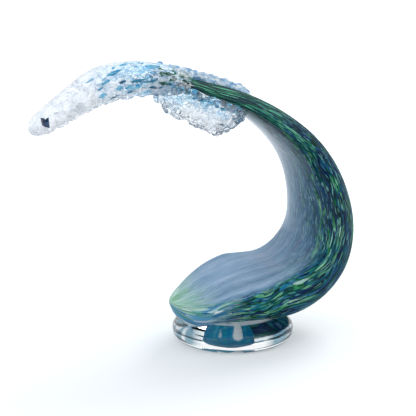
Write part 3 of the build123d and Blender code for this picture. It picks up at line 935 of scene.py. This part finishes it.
def curtain_ring(run):
    """Softened ring through the five corners of the curtain's section."""
    half, hem, drop, bulge = curtain_sizes(run)
    corners = [(half, 0), (hem, drop - bulge), (0, drop), (-hem, drop - bulge), (-half, 0)]
    ring = []
    for (u0, v0), (u1, v1) in zip(corners, corners[1:] + corners[:1]):
        for i in range(SIDE_STEPS):
            ring.append((u0 + (u1 - u0) * i / SIDE_STEPS, v0 + (v1 - v0) * i / SIDE_STEPS))
    return softened(ring, 6)


def off_curtain(run, share, lift):
    """Point off the curtain's skin: its near side up to a share of 0.5, then its hem."""
    half, hem, drop, bulge = curtain_sizes(run)
    if share < 0.5:
        u, v = -half + (half - hem) * share * 2 - lift, (drop - bulge) * share * 2
    else:
        t = share * 2 - 1
        u, v = -hem + 2 * hem * t, drop - bulge * (2 * t - 1) ** 2 + lift
    return place(run, u, v, CURTAIN_OFFSET)


runs = evenly(CURTAIN_TOP + 3.0, CURTAIN_FAR - 0.5, RING_STEP)
rings = [[place(run, u, v, CURTAIN_OFFSET) for u, v in curtain_ring(run)] for run in runs]
balls = strewn_balls(
    260, off_curtain, (CURTAIN_TOP + 6, CURTAIN_FAR - 6), (0.05, 0.95), sizes=(1.8, 4.6), sink=0.4
)
curtain = loft_mesh("curtain", rings, runs)
curtain_mesh = froth_mesh("curtain_froth", curtain, balls, FROTH_VOXEL, FROTH_MELT)
curtain_nodes = ("foam_curtain", "curtain_frit_clear")
show("curtain_froth", curtain_mesh, CURTAIN_FOAM, curtain_nodes)

# %% The ridge
RIDGE_TOP, RIDGE_FAR, RIDGE_FADE = LIP_ROOT - 52.0, LIP + 14.0, 22.0
RIDGE_OFFSET, RIDGE_HALF, RIDGE_HEIGHT, RIDGE_BED = 28.0, 18.0, 6.0, 0.85
RIDGE_VOXEL, RIDGE_MELT = 1.0, 1


def ridge_sizes(run):
    """Half width and height of the ridge at a run."""
    ends = rounding((run - RIDGE_TOP) / RIDGE_FADE + BLUNT)
    ends *= rounding((RIDGE_FAR - run) / RIDGE_FADE + BLUNT)
    return RIDGE_HALF * ends, smooth(DEPTHS, run) * RIDGE_BED + RIDGE_HEIGHT * ends


def off_ridge(run, share, lift):
    """Point off the ridge's outer arc."""
    half, height = ridge_sizes(run)
    return place(run, *on_arc(half, -height, share, lift), RIDGE_OFFSET)


runs = evenly(RIDGE_TOP, RIDGE_FAR, RING_STEP)
rings = []
for run in runs:
    half, height = ridge_sizes(run)
    ring = softened(lens_ring(half, 0.5, height, 0.4, 20), 2)
    rings.append([place(run, u, v, RIDGE_OFFSET) for u, v in ring])
balls = strewn_balls(
    120, off_ridge, (RIDGE_TOP + 4, RIDGE_FAR - 4), (0.2, 0.8), sizes=(2.2, 5.0), sink=0.2
)
ridge = loft_mesh("ridge", rings, runs)
ridge_mesh = froth_mesh("ridge_froth", ridge, balls, RIDGE_VOXEL, RIDGE_MELT)
show("ridge_froth", ridge_mesh, BLUE, ("foam_ridge", "ridge_beads"))

# %% [markdown]
# ## Crushed bits
# Crushed glass has flat broken faces. The hull of a few points on a stretched ball gives such a
# bit, and no two are alike. Aqua bits lie in the froth, teal bars are pieces of drawn rod, olive
# lumps sit where the streaks end, and the navy chip near the tip is made of two hulls.

# %% Bit helpers
def bit_into(bm, centre, ahead, length, width, height, corners):
    """Broken bit round a centre: the hull of points on a stretched ball, its length ahead."""
    turn = ahead.to_track_quat("X", "Z").to_matrix()
    verts = []
    for _ in range(corners):
        p = Vector((rng.gauss(0, 1), rng.gauss(0, 1), rng.gauss(0, 1))).normalized()
        p = Vector((p.x * length / 2, p.y * width / 2, p.z * height / 2))
        verts.append(bm.verts.new(centre + turn @ p * MM))
    hull = bmesh.ops.convex_hull(bm, input=verts)
    left_over = hull["geom_interior"] + hull["geom_unused"]
    spare = {g for g in left_over if isinstance(g, bmesh.types.BMVert)}
    bmesh.ops.delete(bm, geom=list(spare), context="VERTS")


def bits_mesh(name, bits, corners=12):
    """One mesh of many bits, each given as (centre, direction, length, width, height)."""
    bm = bmesh.new()
    for bit in bits:
        bit_into(bm, *bit, corners)
    bmesh.ops.recalc_face_normals(bm, faces=bm.faces)
    return mesh_from(bm, name)


def heading(run, spread):
    """Direction of the flow at a run, turned aside at random."""
    h = edge_line(run)[2]
    return Vector((math.cos(h), rng.uniform(-spread, spread), math.sin(h)))


def near_spout(run, share, lift):
    """Point on the spout: a share up to 1 lies over its near edge, a share above 1 under it."""
    if share > 1:
        return under_spout(run, 2 - share, lift)
    return over_spout(run, share, lift)


def strewn_bits(count, place_at, runs, shares, lifts, spread, lengths, width, heights):
    """Bits at random places, with their sizes drawn between two values."""
    made = []
    for _ in range(count):
        run = rng.uniform(*runs)
        at = place_at(run, rng.uniform(*shares), rng.uniform(*lifts))
        ahead = heading(run, spread)
        made.append((at, ahead, rng.uniform(*lengths), width, rng.uniform(*heights)))
    return made


SET_SPREAD = 0.1


def set_bits(lift, width, rows):
    """Bits in set places on the spout: run past the lip, share, length and height of each."""
    made = []
    for past, share, length, height in rows:
        at = near_spout(LIP + past, share, lift)
        made.append((at, heading(LIP + past, SET_SPREAD), length, width, height))
    return made


# %% Aqua bits
AQUA_WIDTH, AQUA_SET_WIDTH, AQUA_SET_LIFT = 3.0, 5.0, 0.4
aqua_bits = strewn_bits(
    20, near_spout, (LIP + 24, NECK + 8), (0.6, 1.12), (-0.8, 0.6), spread=0.15,
    lengths=(6, 13), width=AQUA_WIDTH, heights=(1.6, 3),
)
aqua_bits += strewn_bits(
    30, off_curtain, (CURTAIN_LOW - 6, LIP + 12), (0.02, 0.22), (-0.5, 0.8), spread=0.4,
    lengths=(3, 7), width=AQUA_WIDTH, heights=(2, 4),
)
aqua_bits += set_bits(AQUA_SET_LIFT, AQUA_SET_WIDTH, (
    (64, 0.78, 24, 5), (52, 1.04, 22, 7), (67, 1.0, 9, 6),
    (84, 1.0, 10, 5), (30, 0.72, 18, 4), (76, 0.86, 12, 4),
))
show("aqua_bits", bits_mesh("aqua_bits", aqua_bits), AQUA, ("aqua_frit",))

# %% Teal bars
TEAL_LIFT, TEAL_WIDTH, TEAL_HEIGHTS, TEAL_CORNERS = 0.6, 3.4, (2.4, 3.6), 20
teal_bits = []
for past, share, length in (
    (48, 0.97, 17), (38, 1.0, 17), (73, 1.14, 11), (62, 0.94, 8), (29, 1.1, 17), (56, 1.12, 11),
):
    at = near_spout(LIP + past, share, TEAL_LIFT)
    ahead = heading(LIP + past, SET_SPREAD)
    teal_bits.append((at, ahead, length, TEAL_WIDTH, rng.uniform(*TEAL_HEIGHTS)))
teal_mesh = bits_mesh("teal_bars", teal_bits, TEAL_CORNERS)
show("teal_bars", teal_mesh, TEAL, ("teal_canes",))

# %% Olive lumps
OLIVE_WIDTH = 3.4
olive_bits = strewn_bits(
    46, near_spout, (LIP - 10, LIP + 26), (0.74, 1.12), (-0.8, 0.8), spread=0.9,
    lengths=(3, 10), width=OLIVE_WIDTH, heights=(1.6, 3.6),
)
olive_mesh = bits_mesh("olive_lumps", olive_bits)
show("olive_lumps", olive_mesh, OLIVE, ("green_knuckles",))

# %% Navy chip
CHIP_LIFT, CHIP_WIDTH, CHIP_CORNERS = 0.8, 6.0, 10
chip_bits = set_bits(CHIP_LIFT, CHIP_WIDTH, ((139, 0.95, 15, 11), (144, 0.87, 8, 11)))
chip_mesh = bits_mesh("navy_chip", chip_bits, CHIP_CORNERS)
show("navy_chip", chip_mesh, NAVY, ("cobalt_chip",))

# %% [markdown]
# ## Floor, light and camera
# The piece stands on a white sweep. The floor is a pale diffuse sheet with a little glow on camera,
# gloss and glass rays, so it reads as white and still takes the shadow. The world is bright behind
# the piece and darker on the camera's side, which gives the glass its edges.

# %% Floor
FLOOR_HALF, FLOOR_DROP = 9.0, 0.0002  # metres
bm = bmesh.new()
bmesh.ops.create_grid(bm, x_segments=8, y_segments=8, size=FLOOR_HALF)
floor = new_object("floor", mesh_from(bm, "floor"))
floor.location.z = CAD_LOW.z - FLOOR_DROP
print("floor at", round(floor.location.z / MM, 2), "mm")

# %% Floor finish
WHITE, tree, shader = new_finish("white_sweep")
tree.nodes.remove(shader)
paper = node(tree, "ShaderNodeBsdfDiffuse", Color=srgb(196, 198, 200))
away = vectors(tree, "LENGTH", own_place(tree))
path = node(tree, "ShaderNodeLightPath")
seen = maths(tree, "MAXIMUM", path.outputs["Is Camera Ray"], path.outputs["Is Glossy Ray"])
seen = maths(tree, "MAXIMUM", seen, path.outputs["Is Transmission Ray"])
level = times(tree, seen, between(tree, away, 0.15, 0.8, 0.31, 0.6))
glow = node(tree, "ShaderNodeEmission", Color=(0.92, 0.97, 1.0, 1.0), Strength=level)
both = node(tree, "ShaderNodeAddShader", in0=paper.outputs[0], in1=glow.outputs[0])
feed(tree, tree.nodes["Material Output"], Surface=both.outputs[0])
floor.data.materials.append(WHITE)
print("floor finish:", len(tree.nodes), "nodes")

# %% World
AMBIENT, BRIGHT_SIDE, PURE_WHITE = 1.15, (-0.35, 0.9, 0.25), (1.0, 1.0, 1.0, 1.0)
world = bpy.data.worlds.new("studio")
bpy.context.scene.world = world
world.use_nodes = True
tree = world.node_tree
tree.nodes.clear()
where = node(tree, "ShaderNodeTexCoord").outputs["Generated"]
shade = between(tree, vectors(tree, "DOT_PRODUCT", where, BRIGHT_SIDE), -0.5, 0.4)
path = node(tree, "ShaderNodeLightPath")
glossy, glassy = path.outputs["Is Glossy Ray"], path.outputs["Is Transmission Ray"]
mirrored = ramp(tree, shade, (0.0, (0.2, 0.32, 0.4, 1.0)), (1.0, PURE_WHITE))
through = ramp(tree, shade, (0.0, (0.8, 0.87, 0.92, 1.0)), (0.7, PURE_WHITE))
tint = mixed(tree, glassy, mirrored, through)
room = node(tree, "ShaderNodeBackground", Color=tint, Strength=1.0).outputs[0]
sheet = node(tree, "ShaderNodeBackground", Color=PURE_WHITE, Strength=1.0).outputs[0]
even = node(tree, "ShaderNodeBackground", Color=(0.95, 0.98, 1.0, 1.0), Strength=AMBIENT).outputs[0]
mirror = maths(tree, "MAXIMUM", glossy, glassy)
lit = node(tree, "ShaderNodeMixShader", in0=mirror, in1=even, in2=room).outputs[0]
seen = node(tree, "ShaderNodeMixShader", in0=path.outputs["Is Camera Ray"], in1=lit, in2=sheet)
node(tree, "ShaderNodeOutputWorld", Surface=seen.outputs[0])
print("world:", len(tree.nodes), "nodes")

# %% Lamp
LAMP_PLACE, LAMP_TARGET = Vector((1.0, 0.6, 1.2)), Vector((0.0, 0.0, 0.15))
LAMP_SIZE, LAMP_POWER = 0.9, 17.0
lamp = bpy.data.lights.new("overhead", "AREA")
lamp.shape = "DISK"
lamp.size = LAMP_SIZE
lamp.energy = LAMP_POWER
overhead = new_object("overhead", lamp)
overhead.location = LAMP_PLACE
overhead.rotation_euler = (LAMP_TARGET - LAMP_PLACE).to_track_quat("-Z", "Y").to_euler()
overhead.visible_glossy = False
print("lamp of", lamp.energy, "W at", tuple(LAMP_PLACE))

# %% Camera
FRAME_HALF = 208.0
FOOT_PIXEL = (232.5, 335.0)
MM_PER_PIXEL = 1.05
AZIMUTH, ELEVATION, DISTANCE = math.radians(-20.0), math.radians(14.0), 1500.0
SENSOR = 36.0
back = Vector((
    math.sin(AZIMUTH) * math.cos(ELEVATION),
    -math.cos(AZIMUTH) * math.cos(ELEVATION),
    math.sin(ELEVATION),
))
right = Vector((math.cos(AZIMUTH), math.sin(AZIMUTH), 0))
up = back.cross(right)
target = right * (FRAME_HALF - FOOT_PIXEL[0]) + up * (FOOT_PIXEL[1] - FRAME_HALF)
spot = (target * MM_PER_PIXEL + back * DISTANCE) * MM
lens = bpy.data.cameras.new("camera")
lens.sensor_width = SENSOR
lens.lens = SENSOR * DISTANCE / MM_PER_PIXEL / (2 * FRAME_HALF)
camera = new_object("camera", lens)
camera.matrix_world = Matrix.Translation(spot) @ Matrix((right, up, back)).transposed().to_4x4()
bpy.context.scene.camera = camera
bpy.context.scene.view_settings.view_transform = "Standard"
print("camera lens", round(lens.lens, 1), "mm at", [round(v, 3) for v in spot])
